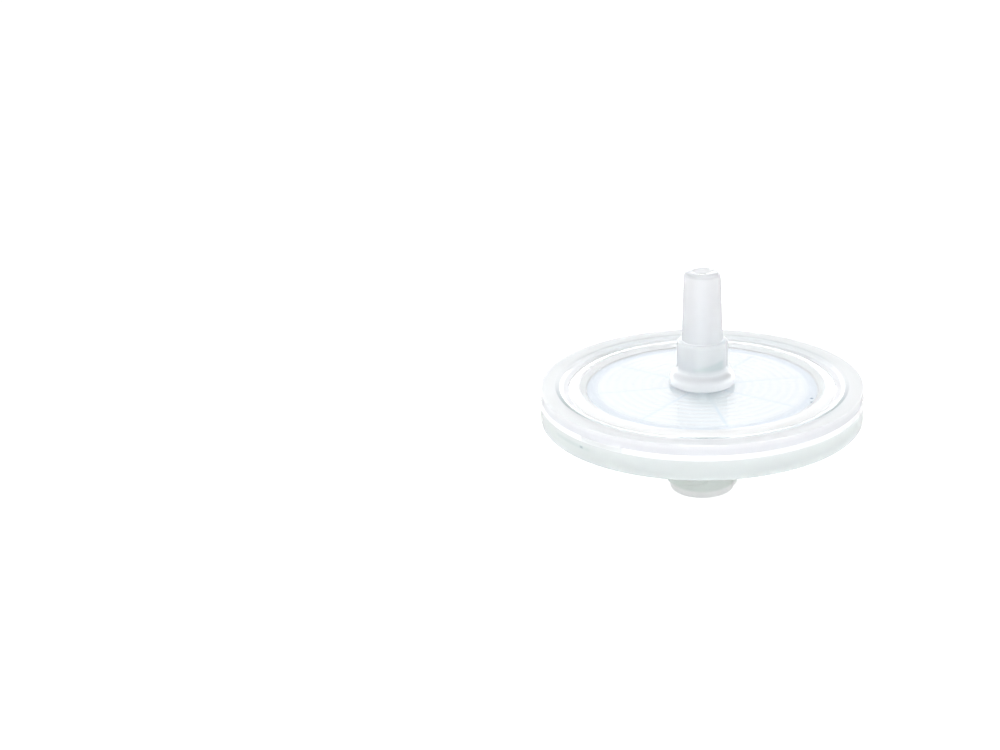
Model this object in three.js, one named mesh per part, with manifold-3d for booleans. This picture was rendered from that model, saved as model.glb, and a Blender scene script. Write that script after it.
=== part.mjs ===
// A disposable syringe filter: two moulded shells with a glass-fibre membrane pinched between them, and a
// ring moulded round their edges. Millimetres, +Z up from the inlet's mouth to the outlet's tip.
// The origin is on the axis, in the plane of the inlet's mouth.
import * as THREE from "three";
import { mergeVertices } from "three/addons/utils/BufferGeometryUtils.js";
import Module from "manifold-3d";

const solids = await Module();
solids.setup();

// Membrane
const membraneRadius = 12.5;
const membraneThickness = 0.36;
const pinchedThickness = 0.2;
const membraneGap = 0.1; // between the membrane's edge and the shells

// Disc, from the membrane outwards
const clampWidth = 1.05; // of the ridges that pinch the membrane's edge
const weldWidth = 1.95; // from the membrane's edge to the edge of the shells' faces
const flangeWidth = 1.75; // of the thin edge that the ring grips
const flangeThickness = 0.55; // of one shell's thin edge
const ringWall = 1.35; // of the ring, outside the shells
const fitGap = 0.05; // between the ring and the shells
const plateThickness = 1.05;
const landStart = 0.3; // from the membrane's edge to where the outlet's face begins to fall
const landDrop = 0.31; // of the outlet's face at its edge

// Ribs and channels on the inner face of each shell
const padRadius = 3.6; // of the plain middle
const ribPitch = 1.0;
const ribWidth = 0.45;
const ribHeight = 0.3;
const channelCount = 8;
const channelWidth = 0.55;
const channelAngle = 12.5; // of the first channel, in degrees from +X towards +Y

// Ring, whose wall steps out below the parting line of its mould
const ringRise = 0.17; // of its flat top above the outlet's face
const ringDrop = 0.47; // of its flat bottom below the inlet's face
const ringSink = 0.1; // of its lower inner edge into the inlet's face
const ringSlope = 1.4; // width of the slopes to its flat top and bottom
const lipStart = 0.6; // from its upper inner edge to the steep lip in the slope
const lipWidth = 0.25;
const lipRise = 0.05; // of the slope, up to the lip
const lipFall = 0.06; // from its flat top to the lip
const stepDepth = 1.15; // from its top to the step
const stepHeight = 0.42;
const stepWidth = 0.12;
const ringRounding = 0.15;

// Outlet: a stepped nozzle with a male luer cone, with heights above the shell's face
const nozzleFlangeRadius = 3.55;
const nozzleFlangeHeight = 1.15;
const collarRadius = 2.75;
const collarHeight = 4.85;
const luerTipRadius = 1.985;
const luerLength = 7.5;
const luerTaper = 0.06; // of the diameter, for each unit of length
const tipRounding = 0.45;
const outletBoreRadius = 0.6;

// Inlet: a female luer hub with two lock lugs
const hubRadius = 3.6;
const socketRadius = 2.15; // at the mouth
const socketDepth = 7.8;
const socketFloor = 1.54; // from the socket's end to the shell's face
const mouthBevel = 0.15;
const inletBoreRadius = 1.2;
const hubBaseRadius = 3.95;
const hubBaseHeight = 2.4;
const lugReach = 0.28; // beyond the hub's wall
const lugRoot = 0.1; // depth of the lug's root in the hub's wall
const lugCrest = 0.55;
const lugFlank = 0.25; // axial width of each sloping flank
const lugSpan = 120; // degrees
const lugStart = 160; // degrees
const lugLead = 5.0; // rise for each turn
const lugClearance = 0.08; // from the mouth to the lowest edge of the lug's root

// Finish of edges
const edgeRounding = 0.2;
const overlap = 0.2; // that joined bodies of one moulding share

// Facets
const discSegments = 64;
const stemSegments = 32;
const ribSegments = 32;
const arcSteps = 3;
const lugSteps = 12;

// Worked out from the sizes above, from the mouth upwards
const inletFace = socketDepth + socketFloor;
const inletFloor = inletFace + plateThickness;
const membraneBottom = inletFloor + ribHeight;
const membraneTop = membraneBottom + membraneThickness;
const outletCeiling = membraneTop + ribHeight;
const outletFace = outletCeiling + plateThickness;
const weldPlane = (inletFace + outletFace) / 2;
const clampRadius = membraneRadius - clampWidth;
const pocketRadius = membraneRadius + membraneGap;
const faceRadius = membraneRadius + weldWidth;
const flangeRadius = faceRadius + flangeWidth;
const ringRadius = flangeRadius + ringWall;
const luerBaseRadius = luerTipRadius + (luerTaper * luerLength) / 2;
const luerTip = outletFace + collarHeight + luerLength;
const socketEndRadius = socketRadius - (luerTaper * socketDepth) / 2;
const lugDepth = lugReach + lugRoot;
const lugRootWidth = lugCrest + (2 * lugFlank * lugDepth) / lugReach;
const degree = Math.PI / 180;

// The profile through corners [radius, height, cut], where a corner with a cut is rounded off that far along
// its edges, or to their middles where they are short.
function profileThrough(corners) {
  const at = (i) => new THREE.Vector2(...corners[(i + corners.length) % corners.length]);
  const path = new THREE.Path();
  corners.forEach(([, , cut = 0], i) => {
    const here = at(i);
    const ends = [at(i - 1), at(i + 1)].map((next) => {
      const edge = next.sub(here);
      return here.clone().add(edge.setLength(Math.min(cut, edge.length() / 2)));
    });
    if (i === 0) path.moveTo(ends[0].x, ends[0].y);
    else path.lineTo(ends[0].x, ends[0].y);
    if (cut > 0) path.quadraticCurveTo(here.x, here.y, ends[1].x, ends[1].y);
  });
  path.closePath();
  return path.getPoints(arcSteps);
}

// A ring-shaped body with its axis on Z. The corners run anticlockwise, with the radius to the right.
function turned(corners, segments) {
  return new THREE.LatheGeometry(profileThrough(corners), segments).rotateX(Math.PI / 2);
}

function solidFrom(geometry) {
  const bare = geometry.clone();
  bare.deleteAttribute("normal");
  bare.deleteAttribute("uv");
  const merged = mergeVertices(bare);
  return new solids.Manifold(
    new solids.Mesh({
      numProp: 3,
      vertProperties: merged.attributes.position.array,
      triVerts: new Uint32Array(merged.index.array),
    }),
  );
}

function geometryFrom(solid) {
  const { vertProperties, triVerts } = solid.getMesh();
  const geometry = new THREE.BufferGeometry();
  geometry.setAttribute("position", new THREE.BufferAttribute(vertProperties, 3));
  geometry.setIndex(new THREE.BufferAttribute(triVerts, 1));
  geometry.computeVertexNormals();
  return geometry;
}

function joined(parts) {
  return parts.reduce((whole, part) => whole.add(part));
}

// Rings of ribs from the plain middle to the clamping ridge, between two heights, cut by the radial channels.
function ribs(low, high) {
  const rings = [];
  for (let r = padRadius; r + ribWidth + ribPitch / 4 < clampRadius; r += ribPitch) {
    const section = [[r, low], [r + ribWidth, low], [r + ribWidth, high], [r, high]];
    rings.push(solidFrom(turned(section, ribSegments)));
  }
  const channels = Array.from({ length: channelCount }, (_, i) => {
    const bar = new THREE.BoxGeometry(membraneRadius, channelWidth, 2 * (high - low));
    bar.translate(membraneRadius / 2, 0, (low + high) / 2);
    bar.rotateZ((channelAngle + (360 * i) / channelCount) * degree);
    return solidFrom(bar);
  });
  return joined(rings).subtract(joined(channels));
}

// The outlet's plate with its clamping ridge, weld land and thin edge. Its face falls a little towards the
// edge.
function outletPlate() {
  return turned(
    [
      [outletBoreRadius, outletCeiling],
      [clampRadius, outletCeiling],
      [clampRadius, weldPlane + pinchedThickness / 2],
      [pocketRadius, weldPlane + pinchedThickness / 2],
      [pocketRadius, weldPlane],
      [flangeRadius, weldPlane],
      [flangeRadius, weldPlane + flangeThickness],
      [faceRadius, weldPlane + flangeThickness],
      [faceRadius, outletFace - landDrop],
      [membraneRadius + landStart, outletFace],
      [outletBoreRadius, outletFace],
    ],
    discSegments,
  );
}

// The stepped nozzle: flange, collar and luer cone.
function nozzle() {
  const shoulder = outletFace + collarHeight;
  return turned(
    [
      [outletBoreRadius, outletFace - overlap],
      [nozzleFlangeRadius, outletFace - overlap],
      [nozzleFlangeRadius, outletFace + nozzleFlangeHeight, edgeRounding],
      [collarRadius, outletFace + nozzleFlangeHeight],
      [collarRadius, shoulder, edgeRounding],
      [luerBaseRadius, shoulder],
      [luerTipRadius, luerTip, tipRounding],
      [outletBoreRadius, luerTip, edgeRounding / 2],
    ],
    stemSegments,
  );
}

function outletShell() {
  const bore = turned(
    [[0, weldPlane], [outletBoreRadius, weldPlane], [outletBoreRadius, outletFace], [0, outletFace]],
    stemSegments,
  );
  const ribbing = ribs(membraneTop, outletCeiling + overlap);
  return joined([solidFrom(outletPlate()), solidFrom(nozzle()), ribbing]).subtract(solidFrom(bore));
}

// The inlet's plate, like the outlet's the other way up, but with a flat face.
function inletPlate() {
  return turned(
    [
      [inletBoreRadius, inletFace],
      [faceRadius, inletFace],
      [faceRadius, weldPlane - flangeThickness],
      [flangeRadius, weldPlane - flangeThickness],
      [flangeRadius, weldPlane],
      [pocketRadius, weldPlane],
      [pocketRadius, weldPlane - pinchedThickness / 2],
      [clampRadius, weldPlane - pinchedThickness / 2],
      [clampRadius, inletFloor],
      [inletBoreRadius, inletFloor],
    ],
    discSegments,
  );
}

// The hub with its conical socket. Its foot is the flat rim of the mouth.
function hub() {
  return turned(
    [
      [socketRadius + mouthBevel, 0],
      [hubRadius, 0, edgeRounding],
      [hubRadius, inletFace - hubBaseHeight],
      [hubBaseRadius, inletFace - hubBaseHeight, edgeRounding],
      [hubBaseRadius, inletFace + overlap],
      [inletBoreRadius, inletFace + overlap],
      [inletBoreRadius, socketDepth],
      [socketEndRadius, socketDepth],
      [socketRadius, mouthBevel],
    ],
    stemSegments,
  );
}

// One lock lug: a bar of trapezium section bent round the hub, which climbs with the angle as a right-hand
// thread does, and whose two ends run down into the hub's wall.
function lug(turn) {
  const root = hubRadius - lugRoot;
  const crest = hubRadius + lugReach;
  const bar = new THREE.BoxGeometry(1, 1, 1, 1, lugSteps, 1);
  const places = bar.getAttribute("position");
  for (let i = 0; i < places.count; i++) {
    const along = places.getY(i) + 0.5;
    const atEnd = Math.min(along, 1 - along) * lugSteps < 0.5;
    const radius = places.getX(i) < 0 ? root : atEnd ? hubRadius - lugRoot / 2 : crest;
    const width = lugCrest + ((lugRootWidth - lugCrest) * (crest - radius)) / lugDepth;
    const angle = turn + (lugStart + lugSpan * along) * degree;
    const middle = lugClearance + lugRootWidth / 2 + (lugLead * lugSpan * along) / 360;
    places.setXYZ(i, radius * Math.cos(angle), radius * Math.sin(angle), middle + width * places.getZ(i));
  }
  return solidFrom(bar);
}

function inletShell() {
  const bore = turned(
    [[0, inletFace], [inletBoreRadius, inletFace], [inletBoreRadius, weldPlane], [0, weldPlane]],
    stemSegments,
  );
  const ribbing = ribs(inletFloor - overlap, membraneBottom);
  const lugs = [0, Math.PI].map(lug);
  return joined([solidFrom(inletPlate()), solidFrom(hub()), ribbing, ...lugs]).subtract(solidFrom(bore));
}

function membrane() {
  return turned(
    [
      [0, membraneBottom],
      [clampRadius - membraneGap, membraneBottom],
      [clampRadius, weldPlane - pinchedThickness / 2],
      [membraneRadius, weldPlane - pinchedThickness / 2],
      [membraneRadius, weldPlane + pinchedThickness / 2],
      [clampRadius, weldPlane + pinchedThickness / 2],
      [clampRadius - membraneGap, membraneTop],
      [0, membraneTop],
    ],
    discSegments,
  );
}

// The ring: a flat top and bottom, each with a slope in to the shell's face, a stepped wall, and a groove for
// the edges of the shells. The upper slope has a steep lip in it.
function overmouldRing() {
  const inner = faceRadius + fitGap;
  const groove = flangeRadius + fitGap;
  const grooveHalf = flangeThickness + fitGap;
  const top = outletFace + ringRise;
  const bottom = inletFace - ringDrop;
  const step = top - stepDepth;
  const land = outletFace - landDrop;
  return turned(
    [
      [inner, inletFace + ringSink],
      [inner + ringSlope, bottom, ringRounding],
      [ringRadius, bottom, ringRounding],
      [ringRadius, step - stepHeight],
      [ringRadius - stepWidth, step],
      [ringRadius - stepWidth, top, ringRounding],
      [inner + ringSlope, top],
      [inner + lipStart + lipWidth, top - lipFall, ringRounding],
      [inner + lipStart, land + lipRise],
      [inner, land],
      [inner, weldPlane + grooveHalf],
      [groove, weldPlane + grooveHalf],
      [groove, weldPlane - grooveHalf],
      [inner, weldPlane - grooveHalf],
    ],
    discSegments,
  );
}

function named(name, geometry, look) {
  const mesh = new THREE.Mesh(geometry, new THREE.MeshStandardMaterial({ metalness: 0, ...look }));
  mesh.name = name;
  return mesh;
}

const filter = new THREE.Group();
filter.add(
  named("outlet_shell", geometryFrom(outletShell()), { color: 0xeef1f4, roughness: 0.35 }),
  named("inlet_shell", geometryFrom(inletShell()), { color: 0xe6ebe8, roughness: 0.35 }),
  named("filter_membrane", membrane(), { color: 0xf8f9fc, roughness: 0.95 }),
  named("overmould_ring", overmouldRing(), { color: 0xe8edef, roughness: 0.3 }),
);

export default filter;
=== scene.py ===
from math import cos, pi, radians, sin

import bmesh
import bpy
import numpy as np
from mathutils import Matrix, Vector


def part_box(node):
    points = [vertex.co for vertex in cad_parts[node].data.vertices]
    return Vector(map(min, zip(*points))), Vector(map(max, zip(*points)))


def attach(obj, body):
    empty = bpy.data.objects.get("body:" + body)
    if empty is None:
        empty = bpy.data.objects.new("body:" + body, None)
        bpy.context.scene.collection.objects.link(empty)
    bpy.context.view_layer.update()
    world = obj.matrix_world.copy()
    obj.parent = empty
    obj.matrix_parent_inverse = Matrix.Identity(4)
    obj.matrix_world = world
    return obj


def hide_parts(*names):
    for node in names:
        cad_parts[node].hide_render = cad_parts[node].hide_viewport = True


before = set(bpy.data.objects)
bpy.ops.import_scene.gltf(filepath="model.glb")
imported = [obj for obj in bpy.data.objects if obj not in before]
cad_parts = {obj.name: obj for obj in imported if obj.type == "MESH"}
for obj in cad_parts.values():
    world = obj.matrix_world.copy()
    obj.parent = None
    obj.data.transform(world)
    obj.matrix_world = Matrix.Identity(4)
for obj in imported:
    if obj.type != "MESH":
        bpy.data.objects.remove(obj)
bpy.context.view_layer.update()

mm = 0.001  # sizes are in millimetres, and the scales of noise are per metre
tiny = 1e-6  # less than any real step, to tell edges apart
white = (1, 1, 1, 1)
print("frame loaded")

surface = {"mergeDistance": 0.0005, "sharpAngle": 32}


# Corners (radius, height, cut) become points: a cut corner is a parabola between two points on its edges,
# each the cut away from the corner or at the edge's middle, and the rest stay sharp.
def profileThrough(corners, steps):
    count = len(corners)
    spots = np.array([corner[:2] for corner in corners], float)
    points = []
    for i, corner in enumerate(corners):
        here = spots[i]
        cut = corner[2] if len(corner) > 2 else 0
        if not cut:
            points.append(here[None])
            continue
        edges = [spots[i - 1] - here, spots[(i + 1) % count] - here]
        lengths = [np.linalg.norm(edge) for edge in edges]
        first, last = (here + edge * min(cut / length, 0.5) for edge, length in zip(edges, lengths))
        t = np.linspace(0, 1, steps + 1)[:, None]
        points.append((1 - t) ** 2 * first + 2 * t * (1 - t) * here + t ** 2 * last)
    return np.concatenate(points)


# Points are added along each edge of a closed outline, so that no step is longer than the spacing.
def resampled(points, spacing):
    ahead = np.roll(points, -1, axis=0)
    counts = np.maximum(1, np.ceil(np.linalg.norm(ahead - points, axis=1) / spacing)).astype(int)
    start = np.repeat(points, counts, axis=0)
    end = np.repeat(ahead, counts, axis=0)
    place = np.arange(counts.sum()) - np.repeat(np.cumsum(counts) - counts, counts)
    t = (place / np.repeat(counts, counts))[:, None]
    return start + (end - start) * t


# Rises from 0 to 1 as x goes from low to high, with level ends: t squared times 3 minus 2 t.
def smoothStep(x, low, high):
    t = np.clip((x - low) / (high - low), 0, 1)
    return t * t * (3 - 2 * t)


# The profile's radius and its height, each repeated at every column.
def carriedRound(points, columns):
    return np.repeat(points[:, :1], columns, axis=1), np.repeat(points[:, 1:], columns, axis=1)


# A grid of even columns, whose angle is the column's share of a full turn.
def evenGrid(points, columns):
    angle = np.tile(np.linspace(0, 2 * pi, columns, endpoint=False), (len(points), 1))
    return (*carriedRound(points, columns), angle)


# A surface over a grid of rows along a profile and columns round the axis. x is r cos(angle), y is
# r sin(angle). Each face goes round the axis first and then along the profile, so it points outwards.
# The finishes are pairs of a material and of the rows that take it, and a later one goes over an earlier.
def turnedPiece(name, grid, finishes, node):
    radius, height, angle = grid
    spots = np.stack([radius * np.cos(angle), radius * np.sin(angle), height], axis=-1) * mm
    rows, columns = radius.shape
    index = np.arange(rows * columns).reshape(rows, columns)
    right = np.roll(index, -1, axis=1)
    above = np.roll(index, -1, axis=0)
    faces = np.stack([index, right, np.roll(right, -1, axis=0), above], axis=-1).reshape(-1, 4)
    mesh = bpy.data.meshes.new(name)
    mesh.from_pydata(spots.reshape(-1, 3).tolist(), [], faces.tolist())
    zone = np.zeros(rows)
    for i, (material, taken) in enumerate(finishes):
        mesh.materials.append(material)
        zone = np.where(taken, i, zone)
    mesh.polygons.foreach_set("material_index", np.repeat(zone, columns).astype(np.int32))
    merged = bmesh.new()
    merged.from_mesh(mesh)
    bmesh.ops.remove_doubles(merged, verts=merged.verts, dist=surface["mergeDistance"] * mm)
    merged.to_mesh(mesh)
    merged.free()
    mesh.shade_smooth()
    mesh.set_sharp_from_angle(angle=radians(surface["sharpAngle"]))
    piece = bpy.data.objects.new(name, mesh)
    bpy.context.scene.collection.objects.link(piece)
    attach(piece, "root")
    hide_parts(node)
    print(name, len(mesh.polygons), "faces")
    return piece


# Places that the frame's boxes give: the lowest and the highest corner of each node.
boxes = {name: [[value / mm for value in corner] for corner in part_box(name)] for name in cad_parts}
weldPlane = boxes["outlet_shell"][0][2]
flangeRadius = boxes["outlet_shell"][1][0]
luerTip = boxes["outlet_shell"][1][2]
mouth = boxes["inlet_shell"][0][2]
membraneRadius = boxes["filter_membrane"][1][0]
membraneBottom = boxes["filter_membrane"][0][2]
membraneTop = boxes["filter_membrane"][1][2]
rimRadius = boxes["overmould_ring"][1][0]
rimBottom = boxes["overmould_ring"][0][2]
rimTop = boxes["overmould_ring"][1][2]

# What the two shells share. The outlet's face lies under the rim's top, and the inlet's over its bottom.
shells = {
    "outletDrop": 0.17, "inletRise": 0.47, "faceRadius": 14.45, "edgeCut": 0.06,
    "flangeThickness": 0.55, "clampRadius": 11.45, "pocketRadius": 12.6, "pinched": 0.2, "fit": 0.012,
    "padRadius": 3.6, "ribPitch": 0.96, "ribHeight": 0.03, "ribDepth": 0.005, "ribCount": 8, "ribSteps": 12,
    "ribMargin": 0.1, "channels": 8, "channelWidth": 0.55, "channelWall": 0.28, "firstChannel": 12.5,
    "channelColumns": 4, "plainColumns": 40, "cutSteps": 5, "spacing": 1.2,
}
outletFace = rimTop - shells["outletDrop"]
inletFace = rimBottom + shells["inletRise"]
outletCeiling = membraneTop + shells["ribHeight"]
inletFloor = membraneBottom - shells["ribHeight"]


# Angles of the columns at each radius. Each sector starts with the channel's columns, whose edges lie half
# its width from its middle line, at the arcsine of half width over radius, and then has plain columns.
def columnAngles(radius):
    size = shells
    sector = 2 * pi / size["channels"]
    reach = np.maximum(radius, size["padRadius"])[:, None]
    half = np.arcsin(size["channelWidth"] / 2 / reach)
    wall = size["channelWall"] / reach
    inside = half * np.linspace(-1, 1, size["channelColumns"])
    t = np.linspace(0, 1, size["plainColumns"])
    outside = half + wall + t * (sector - 2 * half - 2 * wall)
    one = np.concatenate([inside, outside], axis=1)
    turns = radians(size["firstChannel"]) + sector * np.arange(size["channels"])
    return (one[:, None, :] + turns[None, :, None]).reshape(len(radius), -1)


# 1 in the channels' columns and 0 in the others.
def channelMask():
    one = np.arange(shells["channelColumns"] + shells["plainColumns"]) < shells["channelColumns"]
    return np.tile(one.astype(float), shells["channels"])


# Points of the ribs' rings, outwards, from the plate's height to the crest's and back: the plate's height
# plus half the depth times 1 minus the cosine of the turns past the first rib's foot.
def ribWave(plate, crest):
    size = shells
    turns = np.linspace(0, size["ribCount"], size["ribCount"] * size["ribSteps"] + 1)
    radius = size["padRadius"] + turns * size["ribPitch"]
    height = plate + (crest - plate) / 2 * (1 - np.cos(2 * pi * turns))
    return list(zip(radius, height))


# A shell's grid: the profile at every column, with the ribs' height taken back to the plate in the channels.
def shellGrid(points, plate, crest):
    size, mask = shells, channelMask()
    radius, height = carriedRound(points, len(mask))
    low, high = sorted([plate, crest])
    onRibs = (height > low - tiny) & (height < high + tiny)
    onRibs &= (radius > size["padRadius"] - size["ribMargin"]) & (radius < size["clampRadius"] - tiny)
    height = np.where(onRibs, height + (plate - height) * mask, height)
    return radius, height, columnAngles(points[:, 0])


# The node tree of a material or a world, emptied.
def emptyTree(owner):
    owner.use_nodes = True
    owner.node_tree.nodes.clear()
    return owner.node_tree


# A new node, whose settings and inputs take the values by name.
def addNode(tree, kind, **values):
    node = tree.nodes.new(kind)
    for key, value in values.items():
        if hasattr(node, key):
            setattr(node, key, value)
        else:
            node.inputs[key].default_value = value
    return node


# The result of a maths node whose inputs are numbers or sockets.
def worked(tree, operation, first, second=0.0, third=0.0):
    node = addNode(tree, "ShaderNodeMath", operation=operation)
    for i, value in enumerate((first, second, third)):
        if isinstance(value, (int, float)):
            node.inputs[i].default_value = value
        else:
            tree.links.new(value, node.inputs[i])
    return node.outputs[0]


# All the parts multiplied together.
def product(tree, whole, *others):
    for other in others:
        whole = worked(tree, "MULTIPLY", whole, other)
    return whole


# Goes smoothly from 0 to the top as the value goes from low to high. Low may be the greater of the two.
def faded(tree, value, low, high, top=1.0):
    fade = addNode(tree, "ShaderNodeMapRange", interpolation_type="SMOOTHSTEP")
    fade.inputs["From Min"].default_value = low
    fade.inputs["From Max"].default_value = high
    fade.inputs["To Max"].default_value = top
    tree.links.new(value, fade.inputs["Value"])
    return fade.outputs["Result"]


# 1 from first to last, 0 before the start and after the end, and smooth on the way.
def between(tree, value, start, first, last, end):
    return product(tree, faded(tree, value, start, first), faded(tree, value, end, last))


# The top as far as the core on both sides of the middle, and 0 beyond the reach.
def nearTo(tree, value, middle, core, reach, top=1.0):
    away = worked(tree, "ABSOLUTE", worked(tree, "SUBTRACT", value, middle))
    return faded(tree, away, reach, core, top)


# A point's x, y and z, its distance from the axis and its angle from +X towards +Y, as sockets.
def spotOf(tree, place):
    parts = addNode(tree, "ShaderNodeSeparateXYZ")
    tree.links.new(place.outputs["Object"], parts.inputs[0])
    x, y, z = (parts.outputs[i] for i in range(3))
    radius = worked(tree, "SQRT", worked(tree, "MULTIPLY_ADD", y, y, worked(tree, "MULTIPLY", x, x)))
    return {"x": x, "y": y, "z": z, "radius": radius, "turn": worked(tree, "ARCTAN2", y, x)}


# The distance, seen along the axis, between a spot and a place.
def awayFrom(tree, spot, place):
    x, y = (worked(tree, "SUBTRACT", spot[key], value * mm) for key, value in zip("xy", place))
    return worked(tree, "SQRT", worked(tree, "MULTIPLY_ADD", x, x, worked(tree, "MULTIPLY", y, y)))


# The first colour goes over to the second by a strength, and the result is a socket.
def blended(tree, strength, first, second):
    mix = addNode(tree, "ShaderNodeMix", data_type="RGBA")
    tree.links.new(strength, mix.inputs["Factor"])
    for name, colour in (("A", first), ("B", second)):
        if isinstance(colour, tuple):
            mix.inputs[name].default_value = (*colour, 1)
        else:
            tree.links.new(colour, mix.inputs[name])
    return mix.outputs["Result"]


plastic = {
    "tint": (1, 1, 1), "transmission": 0.985, "roughness": 0.08, "ior": 1.49,
    "absorb": (0.84, 0.92, 0.94), "density": 14.0, "deep": (1, 1, 1), "paleFrom": -1.0, "deepFrom": -2.0,
    "cloudScale": 260, "cloudDetail": 3.0, "cloudDepth": 0.01,
    "grainScale": 2600, "grainDetail": 2.0, "grainHeight": 0.004, "marks": (),
}
milky = {**plastic, "transmission": 0.35, "roughness": 0.22}


# Milky moulded plastic: clear enough to see into, with a faint cloud in its colour and a fine grain. Its
# marks are pairs of a colour and of a function that gives the mark's strength at a spot.
def milkyPlastic(name, look):
    material = bpy.data.materials.new(name)
    tree = emptyTree(material)
    link = tree.links.new
    place = addNode(tree, "ShaderNodeTexCoord")
    cloud = addNode(tree, "ShaderNodeTexNoise", Scale=look["cloudScale"], Detail=look["cloudDetail"])
    link(place.outputs["Object"], cloud.inputs["Vector"])
    dull = tuple(channel * (1 - look["cloudDepth"]) for channel in look["tint"])
    colour = blended(tree, cloud.outputs["Fac"], dull, look["tint"])
    spot = spotOf(tree, place)
    # Below the pale height the colour goes over to the deep one, fully at the deep height.
    lower = faded(tree, spot["z"], look["paleFrom"] * mm, look["deepFrom"] * mm)
    colour = blended(tree, lower, colour, look["deep"])
    for markColour, strength in look["marks"]:
        colour = blended(tree, strength(tree, spot), colour, markColour)
    grain = addNode(tree, "ShaderNodeTexNoise", Scale=look["grainScale"], Detail=look["grainDetail"])
    link(place.outputs["Object"], grain.inputs["Vector"])
    bump = addNode(tree, "ShaderNodeBump", Strength=1.0, Distance=look["grainHeight"] * mm)
    link(grain.outputs["Fac"], bump.inputs["Height"])
    shader = addNode(tree, "ShaderNodeBsdfPrincipled", Roughness=look["roughness"], IOR=look["ior"])
    shader.inputs["Transmission Weight"].default_value = look["transmission"]
    link(colour, shader.inputs["Base Color"])
    link(bump.outputs["Normal"], shader.inputs["Normal"])
    inside = addNode(tree, "ShaderNodeVolumeAbsorption", Color=(*look["absorb"], 1), Density=look["density"])
    output = addNode(tree, "ShaderNodeOutputMaterial")
    link(shader.outputs["BSDF"], output.inputs["Surface"])
    link(inside.outputs["Volume"], output.inputs["Volume"])
    return material


weldPlastic = milkyPlastic("weldPlastic", {**milky, "transmission": 0.1, "tint": (0.95, 0.96, 0.965)})
# The weld looks white through the clear plate: it lets nothing in, and its index of 1 keeps gloss off it.
weldWhite = milkyPlastic("weldWhite", {**plastic, "transmission": 0.0, "ior": 1.0})
print("shared plastics made")

# The outlet shell, with the plate's outer land, the groove over the weld, and the nozzle.
nozzle = {
    "landRadius": 13.75, "landDrop": 0.31, "landCut": 0.45,
    "grooveStart": 12.6, "grooveSlope": 0.7, "grooveEnd": 14.3, "grooveCover": 0.7,
    "footRadius": 3.48, "footCut": 0.06,
    "flangeRadius": 3.55, "flangeHeight": 0.95, "flangeRise": 0.6, "flangeCut": 0.55, "underCut": 0.05,
    "collarRadius": 2.75, "collarHeight": 4.85, "collarCut": 0.45, "collarFillet": 0.45,
    "tipRadius": 1.985, "length": 7.5, "taper": 0.06, "tipCut": 0.3, "tipDrop": 1.0, "tipLean": 0.12,
    "boreRadius": 0.45, "boreCut": 0.1, "sinkRadius": 1.1, "sinkDepth": 0.3,
}
speck = {"place": (11.47, -5.0), "core": 0.13, "reach": 0.22, "colour": (0.12, 0.2, 0.32)}
tip = {
    "from": 0.5, "to": 0.25, "colour": (0.70, 0.71, 0.72),
    "paleCore": 1.0, "paleReach": 1.2, "sinkHighlight": (0.9, 0.9, 0.91),
}
wedge = {
    "foot": 2.05, "head": 2.55, "slope": 0.24, "left": -0.95, "right": 2.25, "fade": 0.5, "top": 0.9,
    "colour": (0.64, 0.72, 0.70),
}


# A dark speck in the plate's face, by the distance from its place.
def speckMark(tree, spot):
    return nearTo(tree, awayFrom(tree, spot, speck["place"]), 0, speck["core"] * mm, speck["reach"] * mm)


# The end of the tip is greyer than the cone, from one depth under it to another.
def tipMark(tree, spot):
    return faded(tree, spot["z"], (luerTip - tip["from"]) * mm, (luerTip - tip["to"]) * mm)


# Painted highlight: the end round the bore, over the countersink, is paler again, by the distance from the
# axis.
def sinkHighlightMark(tree, spot):
    sink = nearTo(tree, spot["radius"], 0, tip["paleCore"] * mm, tip["paleReach"] * mm)
    return product(tree, sink, tipMark(tree, spot))


# Painted shade: a darker wedge in the collar's front. Its foot is level, and its head climbs to the right by
# the slope times x.
def wedgeShadeMark(tree, spot):
    look, soft = wedge, wedge["fade"] / 2
    level = worked(tree, "MULTIPLY_ADD", spot["x"], -look["slope"], spot["z"])
    highest, lowest = outletFace + look["head"], outletFace + look["foot"]
    sides = (look["left"] - soft, look["left"] + soft, look["right"] - soft, look["right"] + soft)
    return product(
        tree,
        faded(tree, level, (highest + soft) * mm, (highest - soft) * mm, look["top"]),
        faded(tree, spot["z"], (lowest - soft) * mm, (lowest + soft) * mm),
        between(tree, spot["x"], *(side * mm for side in sides)),
        faded(tree, spot["y"], 0, -soft * mm),
    )


clearPlate = milkyPlastic("clearPlate", {**plastic, "marks": ((speck["colour"], speckMark),)})
landPlastic = milkyPlastic("landPlastic", {**plastic, "transmission": 0.4, "roughness": 0.22})
flangePlastic = milkyPlastic("flangePlastic", {**milky, "tint": (0.62, 0.63, 0.65)})
collarPlastic = milkyPlastic("collarPlastic", {
    **milky, "transmission": 0.5, "roughness": 0.18,
    "tint": (0.80, 0.815, 0.82), "deep": (0.735, 0.755, 0.775),
    "paleFrom": outletFace + 4.0, "deepFrom": outletFace + 1.3,
    "marks": ((wedge["colour"], wedgeShadeMark),),
})
nozzlePlastic = milkyPlastic("nozzlePlastic", {
    **milky, "transmission": 0.5, "roughness": 0.2,
    "tint": (0.86, 0.86, 0.875), "deep": (0.83, 0.835, 0.85),
    "paleFrom": outletFace + 11.5, "deepFrom": outletFace + 6.5,
    "marks": ((tip["colour"], tipMark), (tip["sinkHighlight"], sinkHighlightMark)),
})


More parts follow.
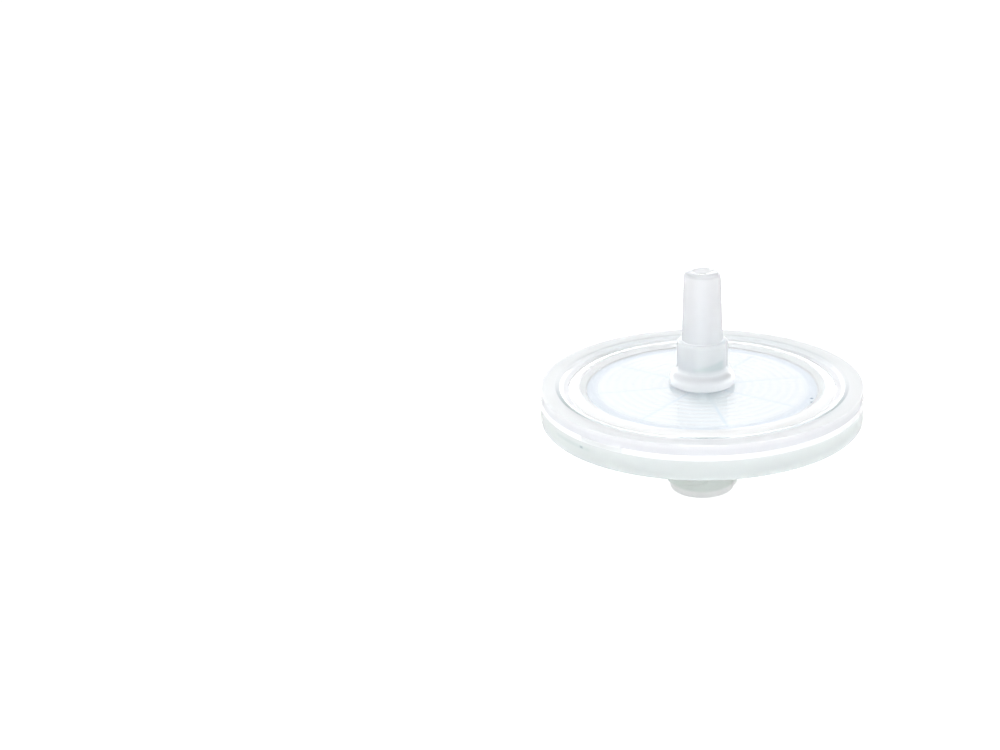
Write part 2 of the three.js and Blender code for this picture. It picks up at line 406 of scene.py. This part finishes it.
# The outlet shell's profile, carried round the axis. It goes out under the plate, round the edge, in over
# the face, up the nozzle and down the bore. The cone's radius grows by half the taper times the length.
def outletMoulding():
    size = nozzle
    weld = weldPlane + shells["fit"] / 2
    gripTop = weldPlane + shells["flangeThickness"]
    groove = outletFace - size["grooveCover"]
    flangeTop = outletFace + size["flangeHeight"]
    collarFoot = flangeTop + size["flangeRise"]
    shoulder = outletFace + size["collarHeight"]
    coneRadius = size["tipRadius"] + size["taper"] * size["length"] / 2
    corners = [
        (size["boreRadius"], outletCeiling),
        *ribWave(outletCeiling, outletCeiling - shells["ribDepth"]),
        (size["grooveStart"], outletCeiling),
        (size["grooveStart"] + size["grooveSlope"], groove),
        (size["grooveEnd"], groove),
        (size["grooveEnd"], weld),
        (flangeRadius, weld),
        (flangeRadius, gripTop),
        (shells["faceRadius"], gripTop),
        (shells["faceRadius"], outletFace - size["landDrop"], shells["edgeCut"]),
        (size["landRadius"], outletFace, size["landCut"]),
        (size["footRadius"], outletFace),
        (size["flangeRadius"], outletFace + size["footCut"], size["underCut"]),
        (size["flangeRadius"], flangeTop, size["flangeCut"]),
        (size["collarRadius"], collarFoot, size["collarFillet"]),
        (size["collarRadius"], shoulder, size["collarCut"]),
        (coneRadius, shoulder, size["boreCut"]),
        (size["tipRadius"], luerTip - size["tipDrop"], size["tipCut"]),
        (size["tipRadius"] - size["tipLean"], luerTip, size["tipCut"]),
        (size["sinkRadius"], luerTip, size["boreCut"]),
        (size["boreRadius"], luerTip - size["sinkDepth"], size["boreCut"]),
    ]
    points = resampled(profileThrough(corners, shells["cutSteps"]), shells["spacing"])
    radius, height = points.T
    overFace = height > outletFace + tiny
    underside = (radius > size["grooveStart"] - tiny) & (height < groove + tiny)
    finishes = [
        (clearPlate, True),
        (flangePlastic, overFace),
        (collarPlastic, height > collarFoot + tiny),
        (nozzlePlastic, height > shoulder + tiny),
        (weldPlastic, overFace & (radius < size["boreRadius"] + tiny)),
        (weldWhite, underside),
        (landPlastic, (radius > size["landRadius"] - size["landCut"] + tiny) & ~underside),
    ]
    grid = shellGrid(points, outletCeiling, membraneTop)
    return turnedPiece("outletMoulding", grid, finishes, "outlet_shell")


outletMoulding()

# The inlet shell, with the hub and its lock lugs.
hub = {
    "radius": 3.6, "mouthCut": 0.3, "socketRadius": 2.15, "socketDepth": 7.8, "taper": 0.06,
    "bevel": 0.15, "boreRadius": 1.2, "baseRadius": 3.95, "baseHeight": 2.4, "baseCut": 0.25, "footCut": 0.06,
    "lugReach": 0.28, "lugCrest": 0.55, "lugFlank": 0.25, "lugMiddle": 0.694, "lugLead": 5.0,
    "lugTurns": (0, 180), "lugStart": 160, "lugSpan": 120, "lugEnd": 10, "wallSpacing": 0.07,
}
# Painted shade and light: the hub's tint is its own green made darker as painted shade under the disc, and
# its lowest edge goes over to white, painted light where the mouth's bevel faces the bright floor.
hubPlastic = milkyPlastic("hubPlastic", {
    **milky, "roughness": 0.45, "tint": (0.75, 0.795, 0.765), "paleFrom": 1.0, "deepFrom": 0.6,
})


# The two lugs' height off the hub's wall: a flat crest with sloping flanks about a line that climbs with the
# angle, lead times turn, and that fades out at both ends.
def lugHeight(height, angle):
    size = hub
    rise = np.zeros_like(height)
    for turn in size["lugTurns"]:
        along = (np.degrees(angle) - size["lugStart"] - turn) % 360
        middle = size["lugMiddle"] + size["lugLead"] * along / 360
        flank = size["lugCrest"] / 2 + size["lugFlank"] - np.abs(height - middle)
        ends = np.minimum(along, size["lugSpan"] - along)
        bump = smoothStep(flank, 0, size["lugFlank"]) * smoothStep(ends, 0, size["lugEnd"])
        rise = np.maximum(rise, size["lugReach"] * bump)
    return rise


# The inlet shell's profile, carried round the axis. It goes up the hub, out under the face, round the edge,
# in over the clamp and the ribs, and down the bore and the socket. The lugs' height is added to the radius
# of the hub's wall.
def inletMoulding():
    size = hub
    socketTop = mouth + size["socketDepth"]
    socketEnd = size["socketRadius"] - size["taper"] * size["socketDepth"] / 2
    base = inletFace - size["baseHeight"]
    gripBottom = weldPlane - shells["flangeThickness"]
    clamp = weldPlane - shells["pinched"] / 2
    weld = weldPlane - shells["fit"] / 2
    corners = [
        (size["socketRadius"] + size["bevel"], mouth),
        (size["radius"], mouth, size["mouthCut"]),
        (size["radius"], base),
        (size["baseRadius"], base, size["baseCut"]),
        (size["baseRadius"], inletFace, size["footCut"]),
        (shells["faceRadius"], inletFace, shells["edgeCut"]),
        (shells["faceRadius"], gripBottom),
        (flangeRadius, gripBottom),
        (flangeRadius, weld),
        (shells["pocketRadius"], weld),
        (shells["pocketRadius"], clamp),
        (shells["clampRadius"], clamp),
        (shells["clampRadius"], inletFloor),
        *reversed(ribWave(inletFloor, inletFloor + shells["ribDepth"])),
        (size["boreRadius"], inletFloor),
        (size["boreRadius"], socketTop),
        (socketEnd, socketTop),
        (size["socketRadius"], mouth + size["bevel"]),
    ]
    points = resampled(profileThrough(corners, shells["cutSteps"]), shells["spacing"])

    # Where a radius and a height lie on the part of the hub's wall that carries the lugs.
    def onWall(radius, height):
        return (np.abs(radius - size["radius"]) < tiny) & (height < base - size["wallSpacing"])

    # The wall gets finer steps for the lugs. An outline of two points goes there and back, so half is kept.
    first, last = np.flatnonzero(onWall(*points.T))[[0, -1]]
    fine = resampled(np.stack([points[first], points[last + 1]]), size["wallSpacing"])
    points = np.concatenate([points[:first], fine[: len(fine) // 2 + 1], points[last + 2:]])
    radius, height, angle = shellGrid(points, inletFloor, membraneBottom)
    radius = radius + np.where(onWall(radius, height), lugHeight(height, angle), 0)
    finishes = [
        (weldPlastic, True),
        (hubPlastic, points[:, 1] < inletFace - tiny),
        (weldWhite, (points[:, 1] > weld - tiny) & (points[:, 0] > shells["clampRadius"])),
    ]
    return turnedPiece("inletMoulding", (radius, height, angle), finishes, "inlet_shell")


inletMoulding()

# The membrane, of glass-fibre felt.
disc = {"bevel": 0.1, "cutSteps": 5, "spacing": 0.6, "columns": 160}
felt = {
    "white": (0.85, 0.872, 0.89), "shade": (0.835, 0.857, 0.88), "roughness": 0.95,
    "scale": 5200, "detail": 4.0, "distortion": 2.5, "bump": 0.6, "height": 0.003,
    "mark": (0.69, 0.77, 0.84), "ringMark": 0.45, "lineMark": 1.0, "lineCore": 0.08, "lineReach": 0.28,
    "pinched": (0.68, 0.74, 0.815), "squeeze": (-0.1, 0.25),
    "nozzleShadow": (0.57, 0.64, 0.665), "nozzleShadowPlace": (0.7, -4.1), "nozzleShadowCore": 0.6, "nozzleShadowReach": 3.4, "nozzleShadowMark": 0.8,
}


# The plates press faint rings and lines into the felt. The rings follow the cosine of the turns past the
# first rib's foot, and the lines the distance from each channel's middle: radius times sine of the angle.
def pressedMark(tree, spot):
    look = felt
    perTurn = 2 * pi / shells["ribPitch"]
    turned = worked(tree, "MULTIPLY_ADD", spot["radius"], perTurn / mm, -perTurn * shells["padRadius"])
    half = look["ringMark"] / 2
    ring = worked(tree, "MULTIPLY_ADD", worked(tree, "COSINE", turned), half, half)
    halfSector = pi / shells["channels"]
    turn = worked(tree, "SUBTRACT", spot["turn"], radians(shells["firstChannel"]))
    wrapped = worked(tree, "WRAP", turn, halfSector, -halfSector)
    beside = product(tree, spot["radius"], worked(tree, "SINE", wrapped))
    line = nearTo(tree, beside, 0, look["lineCore"] * mm, look["lineReach"] * mm, look["lineMark"])
    return worked(tree, "MAXIMUM", ring, line)


# Painted shadow: the nozzle's shadow on the felt in front of its foot, by the distance from its middle.
def nozzleShadowMark(tree, spot):
    away = awayFrom(tree, spot, felt["nozzleShadowPlace"])
    return nearTo(tree, away, 0, felt["nozzleShadowCore"] * mm, felt["nozzleShadowReach"] * mm, felt["nozzleShadowMark"])


# The clamped edge is squeezed thin and looks blue.
def pinchedMark(tree, spot):
    start, end = (shells["clampRadius"] + step for step in felt["squeeze"])
    return faded(tree, spot["radius"], start * mm, end * mm)


# Glass-fibre felt: a white of fine tangled threads, from noise stretched by its own distortion.
def fibreFelt(name, look):
    material = bpy.data.materials.new(name)
    tree = emptyTree(material)
    link = tree.links.new
    place = addNode(tree, "ShaderNodeTexCoord")
    threads = addNode(
        tree, "ShaderNodeTexNoise",
        Scale=look["scale"], Detail=look["detail"], Distortion=look["distortion"],
    )
    link(place.outputs["Object"], threads.inputs["Vector"])
    colour = blended(tree, threads.outputs["Fac"], look["shade"], look["white"])
    spot = spotOf(tree, place)
    colour = blended(tree, pressedMark(tree, spot), colour, look["mark"])
    colour = blended(tree, nozzleShadowMark(tree, spot), colour, look["nozzleShadow"])
    colour = blended(tree, pinchedMark(tree, spot), colour, look["pinched"])
    bump = addNode(tree, "ShaderNodeBump", Strength=look["bump"], Distance=look["height"] * mm)
    link(threads.outputs["Fac"], bump.inputs["Height"])
    shader = addNode(tree, "ShaderNodeBsdfPrincipled", Roughness=look["roughness"])
    link(colour, shader.inputs["Base Color"])
    link(bump.outputs["Normal"], shader.inputs["Normal"])
    output = addNode(tree, "ShaderNodeOutputMaterial")
    link(shader.outputs["BSDF"], output.inputs["Surface"])
    return material


membraneFelt = fibreFelt("glassFibreFelt", felt)


# The membrane's profile, carried round the axis: full height inside the clamp, and pinched thin in it.
def glassFibreDisc():
    bottom, top = membraneBottom + shells["fit"], membraneTop - shells["fit"]
    pinch = shells["pinched"] / 2 - shells["fit"]
    clamp = shells["clampRadius"]
    inner = clamp - disc["bevel"]
    corners = [
        (0, bottom),
        (inner, bottom, disc["bevel"]),
        (clamp, weldPlane - pinch),
        (membraneRadius, weldPlane - pinch),
        (membraneRadius, weldPlane + pinch),
        (clamp, weldPlane + pinch),
        (inner, top, disc["bevel"]),
        (0, top),
    ]
    points = resampled(profileThrough(corners, disc["cutSteps"]), disc["spacing"])
    grid = evenGrid(points, disc["columns"])
    return turnedPiece("glassFibreDisc", grid, [(membraneFelt, True)], "filter_membrane")


glassFibreDisc()

# The rim, moulded round the edges of both shells.
rim = {
    "sink": 0.1, "slope": 1.4, "gap": 0.05, "stepDepth": 1.15, "stepHeight": 0.42, "stepWidth": 0.12,
    "footWidth": 0.6, "footRise": 0.05, "lipWidth": 0.25, "lipFall": 0.06, "lipCut": 0.15,
    "topCut": 0.15, "innerCut": 0.2, "stepCut": 0.06, "footCut": 0.15,
    "cutSteps": 7, "spacing": 0.3, "columns": 640,
}
rimLine = {
    "radius": 15.65, "core": 0.14, "reach": 0.3, "from": 1, "to": -8, "faint": 0.12,
    "colour": (0.50, 0.57, 0.58),
}
rimShade = {
    "wall": (0.90, 0.90, 0.93), "wallTop": 0.3, "wallFade": 0.3, "wallFoot": 1.1, "footFade": 0.05,
    "wallRadius": 17.2, "radiusFade": 0.1,
    "slope": (0.84, 0.86, 0.87), "slopeRadius": 15.0, "slopeCore": 0.5, "slopeReach": 0.75,
    "from": 3, "to": 11,
}
gate = {"from": 226, "to": 244.5, "fade": 1.5, "rise": 0.35, "colour": (0.80, 0.82, 0.825)}
shadeLineAndPit = {
    "from": 214, "to": 229, "fade": 3, "depth": 2.26, "core": 0.05, "reach": 0.3, "top": 0.4,
    "colour": (0.62, 0.69, 0.68),
    "pitTurn": 226.8, "pitCore": 0.3, "pitReach": 1.1, "pitHeight": 0.2, "pitColour": (0.42, 0.5, 0.5),
}


# Painted shade: the thin dark line where the rim's flat top ends, heavier at the front.
def rimEdgeShadeMark(tree, spot):
    look = rimLine
    line = nearTo(tree, spot["radius"], look["radius"] * mm, look["core"] * mm, look["reach"] * mm)
    ahead = faded(tree, spot["y"], look["from"] * mm, look["to"] * mm, 1 - look["faint"])
    return product(tree, line, worked(tree, "ADD", ahead, look["faint"]))


# Painted shade: the wall above the step is a little darker than the rounding over it.
def rimWallShadeMark(tree, spot):
    look = rimShade
    top, foot = rimTop - look["wallTop"], rimTop - look["wallFoot"]
    heights = (foot - look["footFade"], foot, top - look["wallFade"], top)
    wall = between(tree, spot["z"], *(height * mm for height in heights))
    inner, outer = look["wallRadius"] - look["radiusFade"], look["wallRadius"]
    return product(tree, wall, faded(tree, spot["radius"], inner * mm, outer * mm))


# Painted shade: the slope inside the rim's flat top is greyer at the back.
def rimSlopeShadeMark(tree, spot):
    look = rimShade
    core, reach = look["slopeCore"] * mm, look["slopeReach"] * mm
    slope = nearTo(tree, spot["radius"], look["slopeRadius"] * mm, core, reach)
    return product(tree, slope, faded(tree, spot["y"], look["from"] * mm, look["to"] * mm))


# The step's painted highlight is dulled on the gate's short way round the step, between two angles. The angle
# of a spot is negative there.
def gateMark(tree, spot):
    turns = (gate["from"], gate["from"] + gate["fade"], gate["to"] - gate["fade"], gate["to"])
    return between(tree, spot["turn"], *(radians(turn - 360) for turn in turns))


# Painted shade: a dark line under the step by the gate, a band round one height on the wall, between two
# angles.
def gateShadeLineMark(tree, spot):
    look = shadeLineAndPit
    core, reach = look["core"] * mm, look["reach"] * mm
    line = nearTo(tree, spot["z"], (rimTop - look["depth"]) * mm, core, reach, look["top"])
    turns = (look["from"] - look["fade"], look["from"], look["to"], look["to"] + look["fade"])
    return product(tree, line, between(tree, spot["turn"], *(radians(turn - 360) for turn in turns)))


# A small dark pit near the line's end, by the angle and the height.
def pitMark(tree, spot):
    look = shadeLineAndPit
    core, reach = look["core"] * mm, look["pitHeight"] * mm
    line = nearTo(tree, spot["z"], (rimTop - look["depth"]) * mm, core, reach)
    turns = (look["pitTurn"] - 360, look["pitCore"], look["pitReach"])
    return product(tree, line, nearTo(tree, spot["turn"], *(radians(turn) for turn in turns)))


satin = {**plastic, "tint": (0.985, 0.985, 1.0), "roughness": 0.15}
rimPlastic = milkyPlastic("rimPlastic", {
    **satin, "transmission": 0.5,
    "deep": (0.915, 0.945, 0.94), "paleFrom": rimTop - 1.55, "deepFrom": rimTop - 1.95,
    "marks": (
        (rimShade["wall"], rimWallShadeMark), (rimShade["slope"], rimSlopeShadeMark), (rimLine["colour"], rimEdgeShadeMark),
        (shadeLineAndPit["colour"], gateShadeLineMark), (shadeLineAndPit["pitColour"], pitMark),
    ),
})
# Painted highlight: the step's band is a copy of the rim's plastic that lets less light through and so shows
# whiter.
stepHighlightPlastic = milkyPlastic("stepHighlightPlastic", {
    **satin, "transmission": 0.15, "marks": ((gate["colour"], gateMark),),
})


# The rim's profile, carried round the axis. It goes out along the bottom, up the wall past its step, in over
# the top to the lip, and back round the groove that the shells' edges sit in. At the gate the plastic is
# smeared over the step: the radius goes over to the wall's by the smear's strength.
def rimMoulding():
    size = rim
    inner = shells["faceRadius"] + size["gap"]
    lip = inner + size["footWidth"]
    groove = flangeRadius + size["gap"]
    grooveHalf = shells["flangeThickness"] + size["gap"]
    land = outletFace - nozzle["landDrop"]
    ledge = rimTop - size["stepDepth"]
    stepFoot = ledge - size["stepHeight"]
    behindStep = rimRadius - 2 * size["stepWidth"]
    corners = [
        (inner, inletFace + size["sink"]),
        (inner + size["slope"], rimBottom, size["innerCut"]),
        (rimRadius, rimBottom, size["footCut"]),
        (rimRadius, stepFoot, size["stepCut"]),
        (rimRadius - size["stepWidth"], ledge, size["stepCut"]),
        (rimRadius - size["stepWidth"], rimTop, size["topCut"]),
        (inner + size["slope"], rimTop, size["innerCut"]),
        (lip + size["lipWidth"], rimTop - size["lipFall"], size["lipCut"]),
        (lip, land + size["footRise"], size["lipCut"]),
        (inner, land, shells["edgeCut"]),
        (inner, weldPlane + grooveHalf),
        (groove, weldPlane + grooveHalf),
        (groove, weldPlane - grooveHalf),
        (inner, weldPlane - grooveHalf),
    ]
    points = resampled(profileThrough(corners, size["cutSteps"]), size["spacing"])
    radius, height, angle = evenGrid(points, size["columns"])
    degrees = np.degrees(angle)
    smear = smoothStep(degrees, gate["from"], gate["from"] + gate["fade"])
    smear *= 1 - smoothStep(degrees, gate["to"] - gate["fade"], gate["to"])
    smear *= 1 - smoothStep(height, ledge, ledge + gate["rise"])
    onWall = (height > stepFoot - size["stepCut"]) & (radius > behindStep)
    radius = np.where(onWall, radius + (rimRadius - radius) * smear, radius)
    stepHalf = size["stepHeight"] / 2
    nearStep = np.abs(points[:, 1] - ledge + stepHalf) < stepHalf + size["stepCut"]
    finishes = [(rimPlastic, True), (stepHighlightPlastic, nearStep & (points[:, 0] > behindStep))]
    return turnedPiece("rimMoulding", (radius, height, angle), finishes, "overmould_ring")


rimMoulding()

# The floor, the light and the camera.
studio = {
    "floorSize": 3000, "floorWhite": 0.5, "floorColour": 0.88,
    "skyWhite": 1.0, "skyLevel": 0.1, "skySlope": (0, 0.1, 0.6),
    "bandMiddle": 0.14, "bandHalf": 0.06, "bandPower": 14.5,
    "keyPlace": (-40, -160, 260), "keySize": 60, "keyPower": 0.07,
    "topPlace": (-20, 20, 290), "topSize": 50, "topPower": 0.3,
}
camera = {
    "elevation": 21.0, "distance": 130, "lens": 43.06, "sensor": 36, "shiftX": -0.2022, "shiftY": 0.0063,
    "nearest": 5, "farthest": 20000,
}


# 1 for rays of any of the kinds, and otherwise 0: the greatest of their outputs.
def rayOf(tree, *kinds):
    rays = addNode(tree, "ShaderNodeLightPath")
    share = rays.outputs[kinds[0]]
    for kind in kinds[1:]:
        share = worked(tree, "MAXIMUM", share, rays.outputs[kind])
    return share


# White light from a background or an emission node, whose strength is a number or a socket.
def whiteLight(tree, kind, strength):
    light = addNode(tree, kind, Color=white)
    if isinstance(strength, float):
        light.inputs["Strength"].default_value = strength
    else:
        tree.links.new(strength, light.inputs["Strength"])
    return light.outputs[0]


# Two shaders added together.
def summed(tree, first, second):
    both = addNode(tree, "ShaderNodeAddShader")
    tree.links.new(first, both.inputs[0])
    tree.links.new(second, both.inputs[1])
    return both.outputs[0]


# Diffuse rays meet a sloped sky, whose strength is the level plus the slope's dot product with the
# direction, and all others plain white. The tent's bright lower edge is added for glossy and diffuse rays.
def whiteSky():
    world = bpy.data.worlds.new("studioSky")
    bpy.context.scene.world = world
    tree = emptyTree(world)
    direction = addNode(tree, "ShaderNodeTexCoord").outputs["Generated"]
    share = addNode(tree, "ShaderNodeVectorMath", operation="DOT_PRODUCT")
    tree.links.new(direction, share.inputs[0])
    share.inputs[1].default_value = studio["skySlope"]
    sloped = worked(tree, "ADD", share.outputs["Value"], studio["skyLevel"])
    mix = addNode(tree, "ShaderNodeMixShader")
    tree.links.new(rayOf(tree, "Is Diffuse Ray"), mix.inputs[0])
    tree.links.new(whiteLight(tree, "ShaderNodeBackground", studio["skyWhite"]), mix.inputs[1])
    tree.links.new(whiteLight(tree, "ShaderNodeBackground", sloped), mix.inputs[2])
    across = addNode(tree, "ShaderNodeSeparateXYZ")
    tree.links.new(direction, across.inputs[0])
    edge = nearTo(tree, across.outputs["Z"], studio["bandMiddle"], 0, studio["bandHalf"], studio["bandPower"])
    shown = product(tree, edge, rayOf(tree, "Is Glossy Ray", "Is Diffuse Ray"))
    band = whiteLight(tree, "ShaderNodeBackground", shown)
    output = addNode(tree, "ShaderNodeOutputWorld")
    tree.links.new(summed(tree, mix.outputs[0], band), output.inputs["Surface"])


# A square of pale matt floor. A glow that only the camera's rays meet brings it up to white.
def whiteFloor():
    half = studio["floorSize"] / 2 * mm
    corners = [(-half, -half, 0), (half, -half, 0), (half, half, 0), (-half, half, 0)]
    mesh = bpy.data.meshes.new("benchTop")
    mesh.from_pydata(corners, [], [(0, 1, 2, 3)])
    material = bpy.data.materials.new("benchTop")
    tree = emptyTree(material)
    matt = addNode(tree, "ShaderNodeBsdfDiffuse", Color=(*[studio["floorColour"]] * 3, 1))
    shown = worked(tree, "MULTIPLY", rayOf(tree, "Is Camera Ray"), studio["floorWhite"])
    glow = whiteLight(tree, "ShaderNodeEmission", shown)
    output = addNode(tree, "ShaderNodeOutputMaterial")
    tree.links.new(summed(tree, matt.outputs[0], glow), output.inputs["Surface"])
    mesh.materials.append(material)
    floor = bpy.data.objects.new("benchTop", mesh)
    bpy.context.scene.collection.objects.link(floor)


# A round soft lamp that is turned towards the middle of the plate's face.
def softbox(name, place, size, power):
    data = bpy.data.lights.new(name, "AREA")
    data.shape = "DISK"
    data.size = size * mm
    data.energy = power
    lamp = bpy.data.objects.new(name, data)
    lamp.location = [value * mm for value in place]
    aim = Vector((0, 0, outletFace * mm)) - lamp.location
    lamp.rotation_euler = aim.to_track_quat("-Z", "Y").to_euler()
    bpy.context.scene.collection.objects.link(lamp)


# The camera looks down at the middle of the plate's face by the elevation, from the distance.
def filterCamera():
    data = bpy.data.cameras.new("filterCamera")
    data.lens = camera["lens"]
    data.sensor_width = camera["sensor"]
    data.shift_x = camera["shiftX"]
    data.shift_y = camera["shiftY"]
    data.clip_start = camera["nearest"] * mm
    data.clip_end = camera["farthest"] * mm
    eye = bpy.data.objects.new("filterCamera", data)
    tilt = radians(camera["elevation"])
    back = Vector((0, -cos(tilt), sin(tilt)))
    eye.location = Vector((0, 0, outletFace * mm)) + back * camera["distance"] * mm
    eye.rotation_euler = (pi / 2 - tilt, 0, 0)
    bpy.context.scene.collection.objects.link(eye)
    bpy.context.scene.camera = eye


whiteSky()
whiteFloor()
for kind in ("key", "top"):
    softbox(kind + "Softbox", studio[kind + "Place"], studio[kind + "Size"], studio[kind + "Power"])
filterCamera()
bpy.context.scene.view_settings.view_transform = "Standard"
# Light that the membrane scatters leaves through the clear shells unblurred, after many bounces.
paths = bpy.context.scene.cycles
paths.blur_glossy = 0
paths.max_bounces = 48
paths.diffuse_bounces = 24
paths.glossy_bounces = 48
paths.transmission_bounces = 48
print("stage set")
